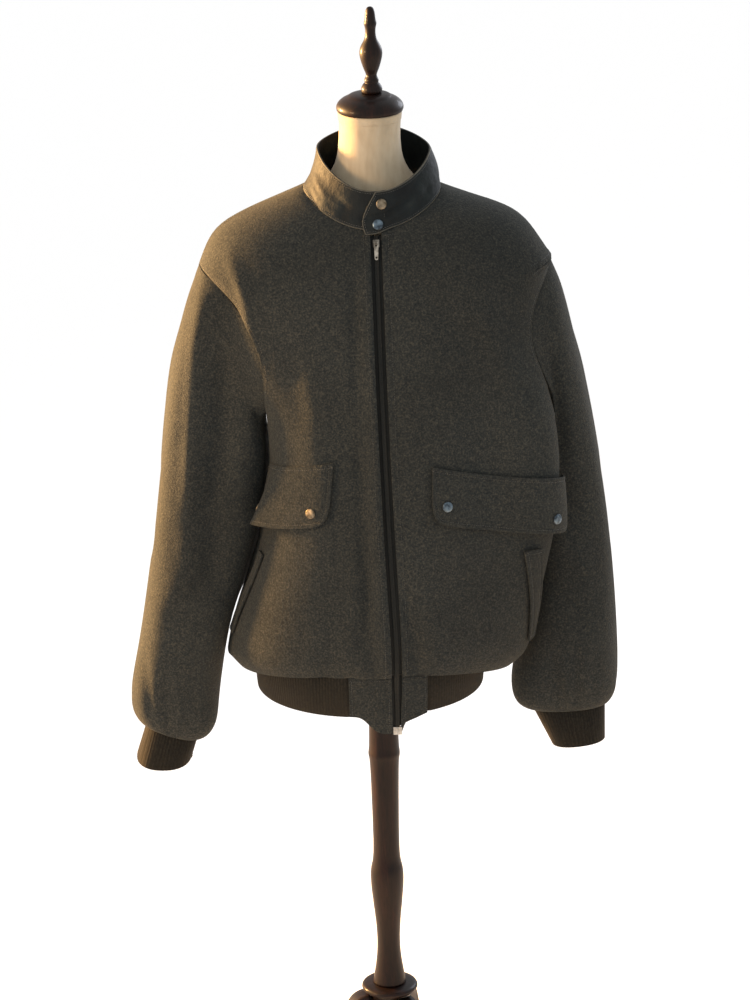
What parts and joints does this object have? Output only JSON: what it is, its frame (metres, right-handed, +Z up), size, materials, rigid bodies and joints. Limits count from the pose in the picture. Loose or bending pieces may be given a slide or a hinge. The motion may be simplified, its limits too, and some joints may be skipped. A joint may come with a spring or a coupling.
{
  "type": "wool blouson jacket on a dress form with a tripod stand",
  "caption": "Zipped wool blouson with leather stand collar, snapped pocket flaps and rib-knit hem and cuffs, worn by a dress form on a turned pole and tripod.",
  "frame": {"origin": "middle of the whole part's box, on the floor under the dress form's pole", "axes": "+Z up, -Y is the jacket's front, +X is the wearer's left"},
  "size_m": [0.705, 0.4352, 1.6405],
  "materials": {
    "wool": "heathered charcoal and olive-brown milled wool",
    "rib_knit": "dark brown-black rib knit",
    "collar_leather": "waxed dark grey-green leather, worn pale at the edges",
    "zip_tape": "woven tape and reverse coil",
    "zip_metal": "dull gunmetal",
    "zip_box_metal": "satin silver",
    "snap_brass": "antique brass",
    "form_linen": "cream linen stretched over the form",
    "dark_wood": "dark mahogany stain, glossy varnish"
  },
  "bodies": {
    "jacket_and_form": {"front_left": "wool", "front_right": "wool", "back": "wool", "sleeve_left": "wool", "sleeve_right": "wool", "cuff_left": "rib_knit", "cuff_right": "rib_knit", "hem_rib": "rib_knit", "hem_end_left": "wool", "hem_end_right": "wool", "collar": "collar_leather", "flap_left": "wool", "flap_right": "wool", "welt_left": "wool", "welt_right": "wool", "zip_tape_left": "zip_tape", "zip_tape_right": "zip_tape", "zip_chain": "zip_tape", "zip_slider": "zip_metal", "zip_box": "zip_box_metal", "snap_flap_left_1": "snap_brass", "snap_flap_left_2": "snap_brass", "snap_flap_right_1": "snap_brass", "snap_flap_right_2": "snap_brass", "snap_collar_1": "snap_brass", "snap_collar_2": "snap_brass", "form_torso": "form_linen", "neck_cap": "dark_wood", "finial": "dark_wood", "pole": "dark_wood", "hub": "dark_wood", "leg_1": "dark_wood", "leg_2": "dark_wood", "leg_3": "dark_wood"},
    "zip_pull_tab": {"zip_pull": "zip_metal"}
  },
  "joints": [
    {"name": "zip_pull_swing", "type": "hinge", "parent": "jacket_and_form", "child": "zip_pull_tab", "pos_m": [0.01734, -0.10899, 1.33707], "axis": [1, 0, 0], "range_deg": [-120, 0]}
  ]
}
